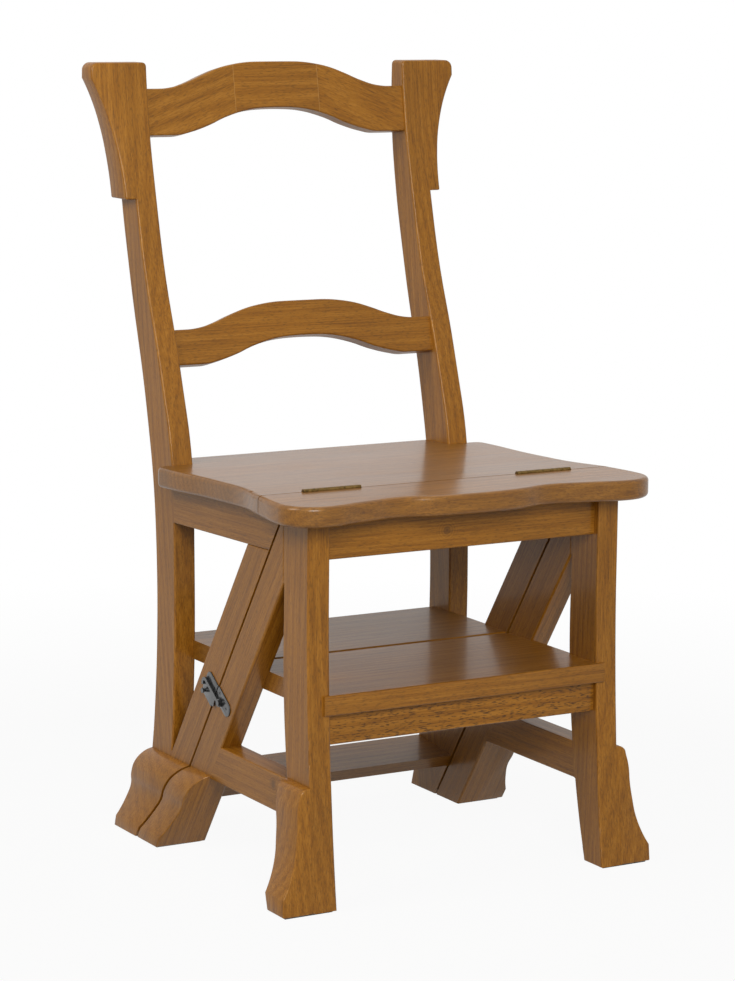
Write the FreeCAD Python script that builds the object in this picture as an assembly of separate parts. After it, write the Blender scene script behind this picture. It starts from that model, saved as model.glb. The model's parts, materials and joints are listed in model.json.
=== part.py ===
import FreeCAD, Part
import math
import os

# A wooden side chair that folds open into library steps. The seat is cut across near its front and
# hinged there, and both side frames are cut on a slant from the hinge down to the floor. The back half
# swings up and over, until the ear tops of its posts stand on the floor in front of the chair.
# Millimetres. X runs across the chair, left is -X, Y runs from front to back, Z is up from the floor.

# Driving sizes of the whole chair
frame_width = 400.0
member = 27.0
seat_height = 450.0
seat_thickness = 23.0
seat_fall_deg = 1.5
tread_height = 237.0
tread_thickness = 22.5
steps_clearance = 0.6

# The slanted cut between the two halves: its depth under the seat and at the floor
hinge_depth = 61.2
cut_start_depth = 57.0
cut_floor_depth = 346.1
cut_gap = 3.4
seat_gap = 1.2
seat_relief = 0.4
brace_depth = 52.5

# Front leg
leg_top_depth = 54.5
leg_sweep_height = 320.0
leg_mid_height = 138.0
leg_mid_front = -8.0
leg_mid_back = 45.5
leg_foot_front = -22.5
leg_foot_back = 15.0

# Foot blocks and the pads under them
front_foot_height = 138.0
rear_foot_height = 97.5
foot_flare = 39.5
rear_foot_flare = 38.0
foot_shape = [(0.0, 1.0), (0.25, 0.975), (0.33, 0.91), (0.46, 0.6), (0.6, 0.39), (1.0, 0.15)]
rear_foot_shape = [(0.0, 1.0), (0.34, 0.945), (0.58, 0.83), (0.64, 0.71), (0.61, 0.55), (0.74, 0.37),
                   (1.0, 0.15)]
glide_thickness = 2.0
glide_inset = 4.0

# Back post: the depth of its front and back edges at shares of its height
post_front = [(357.0, 0.0), (327.0, 0.12), (320.0, 0.222), (319.5, 0.369), (325.5, 0.4944),
              (357.5, 0.6156), (399.5, 0.7456), (418.5, 0.8256), (435.0, 0.9056), (446.0, 1.0)]
post_back = [(404.0, 0.0), (380.5, 0.1067), (368.5, 0.222), (367.5, 0.362), (376.5, 0.468),
             (393.5, 0.5567), (438.5, 0.73), (459.0, 0.8233), (470.5, 0.9056), (472.0, 1.0)]
post_inner_round = 5.0

# Block on the outside of each ear, measured from the top of the post
ear_length = 157.0
ear_start = 13.0
ear_flare = 44.2
ear_corner_drop = 18.0
ear_shape = [(0.0, 0.0), (0.07, 0.3), (0.25, 0.55), (0.6, 0.81), (1.0, 1.0)]
ear_round = 9.0

# Rails of the back, measured down from the top of the post to the rail's lower edge at its ends
crest_drop = 84.5
crest_height = 55.0
crest_rise = 31.0
crest_recess = 3.0
crest_tilt_deg = 10.0
lower_drop = 346.5
lower_height = 42.0
lower_rise = 28.0
lower_recess = 7.0
lower_tilt_deg = 16.0
rail_thickness = 21.0
rail_joint = 57.0

# Arch of the rails: distance from the middle and share of the rise, over and under
arch_over = [(0.0, 1.0), (50.0, 0.935), (75.0, 0.77), (95.0, 0.54), (115.0, 0.275), (137.0, 0.06),
             (155.0, 0.0)]
arch_under = [(0.0, 1.0), (44.0, 0.89), (70.0, 0.655), (95.0, 0.33), (115.0, 0.13), (137.0, 0.0)]

# Rails under the seat and at the sides
apron_height = 43.5
apron_thickness = 20.0
front_apron_recess = 9.0
rear_apron_recess = 17.0
tread_rail_height = 34.0
tread_rail_recess = 3.0
low_rail_top = 136.5
low_rail_height = 42.5

# Seat outline: how far it reaches past the side frames, and where along its depth
seat_front_reach = 35.0
seat_middle_reach = 31.5
seat_dip_reach = 17.5
seat_dip_half = 98.0
seat_middle_bend = (0.46, 0.2)
seat_lobe_bend = (0.46, 0.44)
seat_lobe_inset = 8.0
seat_corner_depth = 4.0
seat_corner_overhang = 34.5
seat_hinge_overhang = 28.0
seat_taper_depth = 118.0
seat_taper_overhang = 16.5
seat_waist_depth = 190.0
seat_waist_overhang = 14.5
seat_ear_overhang = 21.0
seat_ear_lap = 2.5
seat_ear_round = 14.0
seat_back_lap = 3.0

# Treads and the low board
tread_nosing = 6.2
tread_horn = 8.5
tread_notch = 4.0
tread_housing = 3.0
tread_post_lap = 38.0
low_board_height = 59.0
low_board_lap = 1.5
low_board_thickness = 16.0
low_board_tilt_deg = 7.0

# Rounded edges
edge_round = 2.2
rail_round = 1.5
seat_round = 5.0

# Hinges
hinge_outer_inset = 26.6
hinge_length = 72.0
knuckle_radius = 2.8
knuckle_count = 5
knuckle_gap = 0.2
hinge_rise = 0.3
hinge_pin_radius = 1.3
hinge_pin_clearance = 0.05
leaf_thickness = 1.5
leaf_height = 20.0
knuckle_clearance = 0.35
hinge_screws = 3
hinge_screw_inset = 12.0
hinge_screw_drop = 11.0
screw_radius = 1.6
screw_head_radius = 3.1
screw_head_height = 1.4
screw_length = 14.0

# Latch, measured along and across the line square to the slanted cut
latch_height = 202.0
latch_plate = 1.2
latch_plate_width = 18.0
latch_plate_length = 36.0
latch_plate_gap = 1.6
latch_plate_shift = 1.5
catch_length = 28.0
catch_width = 33.0
catch_shift = 10.5
catch_round = 7.0
catch_screw_inset = 5.0
catch_screw_across = 9.0
plate_screw_inset = 6.2
plate_screw_across = 4.0
pivot_along = -14.0
pivot_across = 6.0
hook_reach = 38.0
hook_curl_drop = 6.0
hook_width = 4.0
hook_thickness = 2.4
hook_curl_radius = 5.0
hook_curl_deg = 150.0
hook_eye_radius = 4.6
hook_lift = 0.3
hook_play = 0.06
pivot_radius = 2.0
pivot_head_radius = 3.4
pivot_head_height = 1.1
stud_radius = 1.9
stud_head_radius = 3.1
stud_swing_deg = 14.5
thumb_radius = 3.2
thumb_reach = 10.0
thumb_along = 8.0

# Dowels and seat screws
dowel_radius = 4.0
dowel_length = 30.0
dowel_in_rail = 17.0
dowel_shares = [0.28, 0.72]
seat_screw_radius = 2.2
seat_screw_head_radius = 4.2
seat_screw_head = 3.0
seat_screw_grip = 15.0
seat_screw_bore_radius = 4.6
seat_screw_bore = 16.0
front_seat_screw_half = 120.0
side_seat_screw_depths = [130.0, 270.0]

V = FreeCAD.Vector
X_AXIS = V(1, 0, 0)
Y_AXIS = V(0, 1, 0)
Z_AXIS = V(0, 0, 1)
OUTER = frame_width / 2
INNER = OUTER - member
SEAT_UNDER = seat_height - seat_thickness
CUT_TAN = (cut_floor_depth - cut_start_depth) / SEAT_UNDER
CUT_COS = math.cos(math.atan(CUT_TAN))
CUT_SIN = math.sin(math.atan(CUT_TAN))
HINGE = V(0, hinge_depth, seat_height + hinge_rise)
POST_TOP = 2 * HINGE.z - steps_clearance
FAR = 2 * (POST_TOP + frame_width)
TINY = 0.01
SPARE = 1.0
SEARCH_STEP = 0.5
FRAME_SHIFT = V(0, -(post_back[-1][0] - seat_front_reach) / 2, 0)


def cut_depth(height, side=0.0):
    """Depth of the slanted cut at a height; side is -1 for the front half's face, 1 for the back's."""
    return cut_start_depth + (SEAT_UNDER - height) * CUT_TAN + side * cut_gap / 2 / CUT_COS


def seat_drop(depth):
    """How far the sloping rear seat lies under the level of the hinge."""
    return (depth - hinge_depth) * math.tan(math.radians(seat_fall_deg))


def depth_at(edge, height):
    """Depth of one of the post's edges at a height, between its stated points."""
    points = [(depth, share * POST_TOP) for depth, share in edge]
    for (y_low, z_low), (y_high, z_high) in zip(points, points[1:]):
        if z_low <= height <= z_high:
            return y_low + (y_high - y_low) * (height - z_low) / (z_high - z_low)
    return points[-1][0]


def corners(points):
    """Straight edges through (depth, height) points in the plane X = 0, not closed."""
    vectors = [V(0, y, z) for y, z in points]
    return [Part.makeLine(a, b) for a, b in zip(vectors, vectors[1:])]


def arc_from(start, direction, end):
    """Arc that leaves its start in a direction and ends at a point."""
    chord = end - start
    along = V(chord).normalize()
    angle = direction.getAngle(chord)
    if angle < 1e-4:
        return Part.makeLine(start, end)
    sideways = (direction - along * direction.dot(along)).normalize()
    middle = (start + end) * 0.5 + sideways * (chord.Length / 2 * math.tan(angle / 2))
    return Part.Arc(start, middle, end).toShape()


def two_arcs(start, leaving, end, arriving):
    """Two arcs, tangent to each other, that join two points with a direction at each."""
    chord = end - start
    both = leaving + arriving
    bend = 2 * (1 - leaving.dot(arriving))
    if bend < 1e-9:
        reach = chord.dot(chord) / (2 * chord.dot(both))
    else:
        reach = (math.sqrt(chord.dot(both) ** 2 + bend * chord.dot(chord)) - chord.dot(both)) / bend
    join = (start + end + (leaving - arriving) * reach) * 0.5
    return [arc_from(start, leaving, join), reversed_arc(join, arriving, end)]


def reversed_arc(start, arriving, end):
    """Arc that arrives at its end in a direction."""
    return arc_from(end, arriving * -1, start)


def smooth(points, leaving=None, arriving=None):
    """Chain of tangent arcs through points in one plane."""
    steps = [b - a for a, b in zip(points, points[1:])]
    headings = [(a * (1 / a.dot(a)) + b * (1 / b.dot(b))).normalize() for a, b in zip(steps, steps[1:])]
    first = V(steps[0]).normalize()
    last = V(steps[-1]).normalize()
    headings.insert(0, leaving or first * (2 * first.dot(headings[0])) - headings[0])
    headings.append(arriving or last * (2 * last.dot(headings[-1])) - headings[-1])
    edges = []
    for i in range(len(steps)):
        edges += two_arcs(points[i], headings[i], points[i + 1], headings[i + 1])
    return edges


def post_edge(edge):
    return smooth([V(0, depth, share * POST_TOP) for depth, share in edge])


def face_of(edges):
    return Part.Face(Part.Wire(Part.sortEdges(edges)[0]))


def across(edges, x_low, x_high):
    """Solid of a closed outline in the plane X = 0, drawn out from one X to another."""
    solid = face_of(edges).extrude(V(x_high - x_low, 0, 0))
    solid.translate(V(x_low, 0, 0))
    return solid


def box(x_low, x_high, y_low, y_high, z_low, z_high):
    return Part.makeBox(x_high - x_low, y_high - y_low, z_high - z_low, V(x_low, y_low, z_low))


def mirrored(shape):
    return shape.mirror(V(0, 0, 0), X_AXIS)


def rounded(shape, radius, wanted):
    """Rounds the edges whose middle point passes the test."""
    picked = [edge for edge in shape.Edges if wanted(edge, edge.valueAt(
        (edge.FirstParameter + edge.LastParameter) / 2))]
    return shape.makeFillet(radius, picked)


def behind_cut(side):
    """Everything behind one face of the slanted cut."""
    outline = [(cut_depth(-FAR, side), -FAR), (3 * FAR, -FAR), (3 * FAR, FAR), (cut_depth(FAR, side), FAR),
               (cut_depth(-FAR, side), -FAR)]
    return across(corners(outline), -FAR, FAR)


def floor_cutter():
    return box(-FAR, FAR, -FAR, FAR, -FAR, glide_thickness)


# Blanks of the side members, left side, square-edged and full height
def post_slab(x_low, x_high):
    crown = Part.makeLine(V(0, post_front[-1][0], POST_TOP), V(0, post_back[-1][0], POST_TOP))
    sole = Part.makeLine(V(0, post_back[0][0], 0), V(0, post_front[0][0], 0))
    return across(post_edge(post_front) + [crown] + post_edge(post_back) + [sole], x_low, x_high)


def leg_slab(x_low, x_high):
    """Front leg: straight at the top, its foot swept forward."""
    front = Part.Arc(V(0, 0, leg_sweep_height), V(0, leg_mid_front, leg_mid_height),
                     V(0, leg_foot_front, 0)).toShape()
    sole = Part.makeLine(V(0, leg_foot_front, 0), V(0, leg_foot_back, 0))
    back = Part.Arc(V(0, leg_foot_back, 0), V(0, leg_mid_back, leg_mid_height),
                    V(0, leg_top_depth, leg_sweep_height)).toShape()
    top = corners([(leg_top_depth, leg_sweep_height), (leg_top_depth, SEAT_UNDER), (0, SEAT_UNDER),
                   (0, leg_sweep_height)])
    return across([front, sole, back] + top, x_low, x_high).cut(floor_cutter())


def front_brace_slab():
    meet = SEAT_UNDER - (leg_top_depth + brace_depth - cut_start_depth) / CUT_TAN
    points = [(leg_top_depth, SEAT_UNDER), (cut_depth(SEAT_UNDER, -1), SEAT_UNDER), (cut_depth(0, -1), 0),
              (cut_depth(0) - brace_depth, 0), (leg_top_depth, meet), (leg_top_depth, SEAT_UNDER)]
    return across(corners(points), -OUTER, -INNER).cut(floor_cutter())


def low_rail_slab():
    low = low_rail_top - low_rail_height
    points = [(0, low_rail_top), (cut_depth(low_rail_top) - brace_depth, low_rail_top),
              (cut_depth(low) - brace_depth, low), (0, low), (0, low_rail_top)]
    rail = across(corners(points), -OUTER, -INNER).cut(leg_slab(-OUTER, -INNER))
    return max(rail.Solids, key=lambda solid: solid.BoundBox.YMax)


def side_apron_slab():
    """Rail under the seat, from the slanted cut back to the post; it falls with the seat."""
    start = cut_depth(SEAT_UNDER, 1)
    middle = (depth_at(post_front, SEAT_UNDER) + depth_at(post_back, SEAT_UNDER)) / 2
    low = SEAT_UNDER - apron_height
    points = [(start, SEAT_UNDER - seat_drop(start)), (cut_depth(low, 1), low),
              (middle, low - seat_drop(middle)), (middle, SEAT_UNDER - seat_drop(middle))]
    points.append(points[0])
    apron = across(corners(points), -OUTER, -INNER).cut(post_slab(-OUTER, -INNER))
    under_front_board = box(-FAR, FAR, -FAR, hinge_depth + seat_gap / 2, SEAT_UNDER - seat_relief, FAR)
    return apron.cut(under_front_board)


def rear_brace_slab():
    top = SEAT_UNDER - apron_height
    points = [(cut_depth(0, 1), 0), (cut_depth(top, 1), top), (cut_depth(top) + brace_depth, top),
              (cut_depth(0) + brace_depth, 0)]
    points.append(points[0])
    brace = across(corners(points), -OUTER, -INNER).cut(floor_cutter())
    brace = brace.cut(post_slab(-OUTER, -INNER)).cut(side_apron_slab())
    return largest(brace)


# Members of the side frames, with their long edges rounded between the joints and square beside them
def long_edges(outer_front, outer_back, inner_front, inner_back, is_front):
    """Test that picks any of the four long edges of a member of a left side frame."""
    wanted = {(True, True): outer_front, (True, False): outer_back,
              (False, True): inner_front, (False, False): inner_back}

    def test(edge, middle):
        outside = abs(middle.x + OUTER) < TINY
        inside = abs(middle.x + INNER) < TINY
        level = edge.BoundBox.ZLength < TINY
        return (outside or inside) and not level and wanted[(outside, is_front(middle))]
    return test


def zoned(slab, is_front, zones):
    """A member put together from stretches that start at each height, each with its own rounded edges."""
    heights = [low for low, edges in zones] + [FAR]
    stretches = []
    for (low, edges), high in zip(zones, heights[1:]):
        test = long_edges(*edges, is_front)
        stretch = rounded(slab, edge_round, test) if any(edges) else slab
        stretches.append(stretch.common(box(-FAR, FAR, -FAR, FAR, low, high)))
    return largest(stretches[0].fuse(stretches[1:]).removeSplitter())


def largest(shape):
    return max(shape.Solids, key=lambda solid: solid.Volume)


def front_leg():
    rail_low = low_rail_top - low_rail_height
    meet = SEAT_UNDER - (leg_top_depth + brace_depth - cut_start_depth) / CUT_TAN
    zones = [(0, (False, False, True, True)), (rail_low, (False, False, True, False)),
             (low_rail_top, (False, True, True, True)), (front_foot_height, (True, True, True, True)),
             (meet, (True, False, True, False))]
    halfway = (leg_mid_front + leg_top_depth) / 2
    return zoned(leg_slab(-OUTER, -INNER), lambda middle: middle.y < halfway, zones)


def front_brace():
    rail_low = low_rail_top - low_rail_height
    zones = [(0, (False, False, True, False)), (rail_low, (False, False, False, False)),
             (low_rail_top, (True, False, True, False))]

    def is_front(middle):
        return middle.y < cut_depth(middle.z) - brace_depth / 2
    slab = front_brace_slab().cut(leg_top_prism())
    return zoned(slab, is_front, zones)


def leg_top_prism():
    """The leg's part of the brace's blank: nothing of the brace is rounded along it."""
    return box(-FAR, FAR, -FAR, leg_top_depth, 0, FAR)


def back_post():
    apron_low = SEAT_UNDER - apron_height - seat_drop(depth_at(post_front, SEAT_UNDER))
    seat_top = seat_height - seat_drop(depth_at(post_front, seat_height))
    ear_low = POST_TOP - ear_length
    brace_top = max(brace_meets_post(), rear_foot_height + edge_round)
    zones = [(glide_thickness, (False, False, False, False)), (rear_foot_height, (False, True, False, True)),
             (brace_top, (True, True, True, True)), (apron_low, (False, True, False, True)),
             (seat_top, (True, True, True, True)), (ear_low, (False, False, True, True))]

    def is_front(middle):
        return middle.y < (depth_at(post_front, middle.z) + depth_at(post_back, middle.z)) / 2
    slab = post_slab(-OUTER, -INNER)
    slab = rounded(slab, post_inner_round, lambda edge, middle: middle.z > POST_TOP - TINY and
                   abs(middle.x + INNER) < TINY)
    return zoned(slab, is_front, zones)


def brace_meets_post():
    """Height at which the back of the rear brace runs into the front of the post."""
    height = SEAT_UNDER
    while cut_depth(height) + brace_depth < depth_at(post_front, height):
        height -= SEARCH_STEP
    return height


def rear_brace():
    clear_of_post = brace_meets_post() + edge_round
    zones = [(0, (False, False, False, False)), (clear_of_post, (False, True, False, True))]

    def is_front(middle):
        return middle.y < cut_depth(middle.z) + brace_depth / 2
    return zoned(rear_brace_slab(), is_front, zones)


def low_rail():
    return rounded(low_rail_slab(), rail_round, level_edges)


def side_apron():
    low = SEAT_UNDER - apron_height
    return rounded(side_apron_slab(), rail_round, lambda edge, middle: middle.z < low + TINY and
                   edge.BoundBox.XLength < TINY and edge.BoundBox.YLength > member)


def level_edges(edge, middle):
    return edge.BoundBox.XLength < TINY and edge.BoundBox.ZLength < TINY


# Foot and ear blocks
def foot_profile(height, flare, shape):
    """Front view of an applied foot block, from the frame's outer face outward."""
    points = [V(-out * flare, 0, up * height) for out, up in shape]
    edges = smooth(points)
    toe = V(-flare, 0, 0)
    corner = V(0, 0, 0)
    edges += [Part.makeLine(points[-1], toe), Part.makeLine(toe, corner), Part.makeLine(corner, points[0])]
    solid = face_of(edges).extrude(V(0, 2 * FAR, 0))
    solid.translate(V(-OUTER, -FAR, 0))
    return solid.cut(floor_cutter())


def front_foot():
    slab = leg_slab(-OUTER - foot_flare - SPARE, -OUTER)
    return slab.common(foot_profile(front_foot_height, foot_flare, foot_shape))


def brace_foot():
    high = rear_foot_height
    points = [(cut_depth(0) - brace_depth, 0), (cut_depth(high) - brace_depth, high),
              (cut_depth(high, -1), high), (cut_depth(0, -1), 0)]
    points.append(points[0])
    slab = across(corners(points), -OUTER - rear_foot_flare - SPARE, -OUTER)
    return slab.common(foot_profile(rear_foot_height, rear_foot_flare, rear_foot_shape))


def rear_foot():
    """Behind the cut, with the outline of the rear brace and the post together."""
    x_low = -OUTER - rear_foot_flare - SPARE
    high = rear_foot_height
    middle = (depth_at(post_front, high) + depth_at(post_back, high)) / 2
    ahead = [(cut_depth(0, 1), 0), (cut_depth(high, 1), high), (middle, high), (middle, 0)]
    ahead.append(ahead[0])
    slab = post_slab(x_low, -OUTER).fuse(across(corners(ahead), x_low, -OUTER)).removeSplitter()
    behind = [(cut_depth(0, 1), 0), (cut_depth(high, 1), high), (FAR, high), (FAR, 0), (cut_depth(0, 1), 0)]
    slab = slab.common(across(corners(behind), x_low, -OUTER))
    return slab.common(foot_profile(high, rear_foot_flare, rear_foot_shape))


def ear_block():
    """Foot of the ladder position: flares outward to the top of the post."""
    low = POST_TOP - ear_length
    corner_low = POST_TOP - ear_corner_drop
    flare = ear_flare - ear_start
    rise = corner_low - low
    shape = smooth([V(-ear_start - out * flare, 0, low + up * rise) for out, up in ear_shape])
    edges = shape + [Part.makeLine(V(0, 0, low), V(-ear_start, 0, low)),
                     Part.makeLine(V(-ear_flare, 0, corner_low), V(-ear_flare, 0, POST_TOP)),
                     Part.makeLine(V(-ear_flare, 0, POST_TOP), V(0, 0, POST_TOP)),
                     Part.makeLine(V(0, 0, POST_TOP), V(0, 0, low))]
    profile = face_of(edges).extrude(V(0, FAR, 0))
    profile.translate(V(-OUTER, 0, 0))
    block = profile.common(post_slab(-OUTER - ear_flare - SPARE, -OUTER))
    return rounded(block, ear_round, lambda edge, middle: middle.z > POST_TOP - TINY and
                   abs(middle.x + OUTER + ear_flare) < TINY)


# Seat boards
def seat_half_outline():
    """Right half of the seat's outline, from the middle of the front edge round to the back."""
    lobe = OUTER - seat_lobe_inset
    corner_x = OUTER + seat_corner_overhang
    middle = V(0, -seat_middle_reach, 0)
    dip = V(seat_dip_half, -seat_dip_reach, 0)
    tip = V(lobe, -seat_front_reach, 0)
    front = smooth([middle, between(middle, dip, seat_middle_bend), dip, between(dip, tip, seat_lobe_bend),
                    tip], X_AXIS, X_AXIS)
    corner = two_arcs(V(lobe, -seat_front_reach, 0), X_AXIS, V(corner_x, seat_corner_depth, 0), Y_AXIS)
    ear_x = OUTER + seat_ear_overhang
    ear_back = depth_at(post_front, seat_height) + seat_ear_lap
    straight = ear_back - seat_ear_round
    side = smooth([V(corner_x, seat_corner_depth, 0), V(OUTER + seat_hinge_overhang, hinge_depth, 0),
                   V(OUTER + seat_taper_overhang, seat_taper_depth, 0),
                   V(OUTER + seat_waist_overhang, seat_waist_depth, 0), V(ear_x, straight, 0)],
                  Y_AXIS, Y_AXIS)
    bend = seat_ear_round * (1 - math.cos(math.radians(45)))
    turn = Part.Arc(V(ear_x, straight, 0), V(ear_x - bend, ear_back - bend, 0),
                    V(ear_x - seat_ear_round, ear_back, 0)).toShape()
    back = seat_back()
    points = [V(ear_x - seat_ear_round, ear_back, 0), V(INNER, ear_back, 0)]
    points += [V(INNER, back, 0), V(0, back, 0)]
    lines = [Part.makeLine(a, b) for a, b in zip(points, points[1:])]
    return front + corner + side + [turn] + lines


def between(start, end, shares):
    """A point at one share of the way across and another share of the way in depth."""
    return V(start.x + (end.x - start.x) * shares[0], start.y + (end.y - start.y) * shares[1], 0)


def seat_back():
    return depth_at(post_back, seat_height) - seat_back_lap


def seat_blank():
    half = seat_half_outline()
    middle = Part.makeLine(V(0, seat_back(), 0), V(0, -seat_middle_reach, 0))
    solid = face_of(half + [middle]).extrude(V(0, 0, seat_thickness))
    solid.translate(V(0, 0, SEAT_UNDER))
    return solid.fuse(mirrored(solid)).removeSplitter()


def rim(edge, middle, cut_at):
    """Edges round the seat's top and bottom faces, apart from the cut and the notches at the posts."""
    flat = edge.BoundBox.ZLength < TINY
    at_cut = abs(middle.y - cut_at) < 1.0
    notch = middle.y > depth_at(post_front, seat_height) and abs(middle.x) > INNER - SPARE
    return flat and not at_cut and not notch


def front_seat_board():
    edge_at = hinge_depth - seat_gap / 2
    board = seat_blank().common(box(-FAR, FAR, -FAR, edge_at, 0, FAR))
    board = rounded(board, seat_round, lambda edge, middle: rim(edge, middle, edge_at))
    return board.cut(hinge_recess(-1)).cut(front_seat_holes())


def rear_seat_board(post):
    edge_at = hinge_depth + seat_gap / 2
    board = seat_blank().common(box(-FAR, FAR, edge_at, FAR, 0, FAR))
    board = rounded(board, seat_round, lambda edge, middle: rim(edge, middle, edge_at))
    board.rotate(V(0, hinge_depth, SEAT_UNDER), X_AXIS, -seat_fall_deg)
    board = board.cut(box(-FAR, FAR, -FAR, edge_at, 0, FAR))
    return largest(board.cut(post).cut(mirrored(post)).cut(hinge_recess(1)).cut(rear_seat_holes()))


# Rails
def arched_edge(table, rise, level):
    """Smooth arched edge across the middle of a rail, level at both ends."""
    half = [V(x, 0, level + rise * share) for x, share in table]
    points = [V(-point.x, 0, point.z) for point in reversed(half[1:])] + half
    return smooth(points, X_AXIS, X_AXIS), points[0], points[-1]


def arched_rail(drop, height, rise, recess, tilt_deg):
    """A flat board with an arched outline, between the posts, leaning back as they do."""
    lower, low_left, low_right = arched_edge(arch_under, rise, 0)
    upper, high_left, high_right = arched_edge(arch_over, rise, height)
    ends = [V(INNER, 0, 0), V(INNER, 0, height), V(-INNER, 0, height), V(-INNER, 0, 0)]
    lines = [Part.makeLine(low_right, ends[0]), Part.makeLine(ends[0], ends[1]),
             Part.makeLine(ends[1], high_right), Part.makeLine(high_left, ends[2]),
             Part.makeLine(ends[2], ends[3]), Part.makeLine(ends[3], low_left)]
    solid = face_of(lower + upper + lines).extrude(V(0, rail_thickness, 0))
    solid = rounded(solid, edge_round, lambda edge, middle: abs(middle.x) < INNER - SPARE and
                    edge.BoundBox.YLength < 1)
    solid.rotate(V(0, 0, 0), X_AXIS, -tilt_deg)
    solid.translate(rail_corner(drop, recess))
    return solid


def rail_corner(drop, recess):
    """Lower front edge of a rail, at the plane X = 0 but for its arch."""
    bottom = POST_TOP - drop
    return V(0, depth_at(post_front, bottom) + recess, bottom)


def rail_pieces(name, rail):
    """The middle and the two end pieces that the rail is glued up from."""
    joint = rail_joint
    spans = {name + "_left_end": (-FAR, -joint), name + "_middle": (-joint, joint),
             name + "_right_end": (joint, FAR)}
    return {piece: rail.common(box(low, high, -FAR, FAR, 0, FAR)) for piece, (low, high) in spans.items()}


def front_apron():
    low = SEAT_UNDER - apron_height
    rail = box(-INNER, INNER, front_apron_recess, front_apron_recess + apron_thickness, low, SEAT_UNDER)
    rail = rounded(rail, rail_round, lambda edge, middle: middle.z < low + TINY and abs(middle.x) < TINY)
    return rail.cut(front_seat_holes())


def rear_apron_depth():
    return depth_at(post_front, SEAT_UNDER) + rear_apron_recess


def rear_apron():
    depth = rear_apron_depth()
    top = SEAT_UNDER - seat_drop(depth)
    bottom = top - apron_height
    slope = apron_thickness * math.tan(math.radians(seat_fall_deg))
    points = [(depth, bottom), (depth, top), (depth + apron_thickness, top - slope),
              (depth + apron_thickness, bottom - slope), (depth, bottom)]
    return across(corners(points), -INNER, INNER)


def tread_rail():
    top = tread_height - tread_thickness
    low = top - tread_rail_height
    rail = box(-INNER, INNER, tread_rail_recess, tread_rail_recess + apron_thickness, low, top)
    return rounded(rail, rail_round, lambda edge, middle: middle.z < low + TINY and abs(middle.x) < TINY)


# Treads and low board
def front_tread():
    low = tread_height - tread_thickness
    half = INNER + tread_housing
    board = box(-half, half, 0, cut_depth(low), low, tread_height)
    nosing = box(-INNER - tread_horn, INNER + tread_horn, -tread_nosing, tread_notch, low, tread_height)
    board = board.fuse(nosing).removeSplitter()
    board = rounded(board, edge_round, lambda edge, middle: middle.y < TINY - tread_nosing and
                    edge.BoundBox.XLength > frame_width / 2)
    return eased_at_cut(board.cut(behind_cut(-1)), -1)


def eased_at_cut(board, side):
    """Rounds the top edge of a tread along the slanted cut."""
    depth = cut_depth(tread_height, side)
    return rounded(board, edge_round, lambda edge, middle: edge.BoundBox.XLength > frame_width / 2 and
                   abs(middle.y - depth) < TINY and abs(middle.z - tread_height) < TINY)


def tread_back():
    return depth_at(post_front, tread_height) + tread_post_lap


def rear_tread():
    low = tread_height - tread_thickness
    half = INNER + tread_housing
    board = box(-half, half, cut_depth(tread_height), tread_back(), low, tread_height)
    board = rounded(board, edge_round, lambda edge, middle: edge.BoundBox.XLength > frame_width / 2 and
                    middle.y > tread_back() - SPARE)
    return eased_at_cut(board.common(behind_cut(1)), 1)


def low_board_span():
    """Depth of the low board's front and back edges, at its top."""
    lean = math.radians(low_board_tilt_deg)
    front = cut_depth(low_board_height, 1)
    back = depth_at(post_back, low_board_height) - low_board_lap
    return front, back, (back - front) / math.cos(lean)


def low_board():
    front, back, depth = low_board_span()
    board = box(-INNER, INNER, -low_board_thickness, depth, -low_board_thickness, 0)
    board = rounded(board, edge_round, lambda edge, middle: edge.BoundBox.XLength > frame_width / 2 and
                    middle.y > SPARE)
    board.rotate(V(0, 0, 0), X_AXIS, low_board_tilt_deg)
    board.translate(V(0, front, low_board_height))
    return board.common(behind_cut(1))


# Hinges
def hinge_spans():
    outer = OUTER - hinge_outer_inset
    return [(-outer, hinge_length - outer), (outer - hinge_length, outer)]


def barrel(x_low, x_high, radius):
    return Part.makeCylinder(radius, x_high - x_low, V(x_low, HINGE.y, HINGE.z), X_AXIS)


def knuckle_spans(low, high):
    step = (high - low) / knuckle_count
    return [(low + i * step + knuckle_gap / 2, low + (i + 1) * step - knuckle_gap / 2)
            for i in range(knuckle_count)]


def leaf_plate(low, high, side):
    face = hinge_depth + side * seat_gap / 2
    y_low, y_high = sorted([face, face + side * leaf_thickness])
    return box(low, high, y_low, y_high, HINGE.z - leaf_height, HINGE.z)


def hinge_leaf(low, high, side):
    """One leaf with its knuckles: side -1 is the front leaf, 1 the rear."""
    spans = knuckle_spans(low, high)
    own = spans[0::2] if side < 0 else spans[1::2]
    others = spans[1::2] if side < 0 else spans[0::2]
    room = knuckle_radius + knuckle_clearance
    leaf = leaf_plate(low, high, side)
    for x_low, x_high in others:
        leaf = leaf.cut(barrel(x_low - knuckle_gap, x_high + knuckle_gap, room))
    back = hinge_depth + side * (seat_gap / 2 + leaf_thickness)
    y_low, y_high = sorted([hinge_depth, back])
    for x_low, x_high in own:
        web = box(x_low, x_high, y_low, y_high, HINGE.z - knuckle_radius, HINGE.z)
        leaf = leaf.fuse(barrel(x_low, x_high, knuckle_radius)).fuse(web)
    bore = barrel(low - SPARE, high + SPARE, hinge_pin_radius + hinge_pin_clearance)
    leaf = leaf.cut(bore).removeSplitter()
    return leaf.cut(hinge_screws_of(low, high, side))


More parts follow.
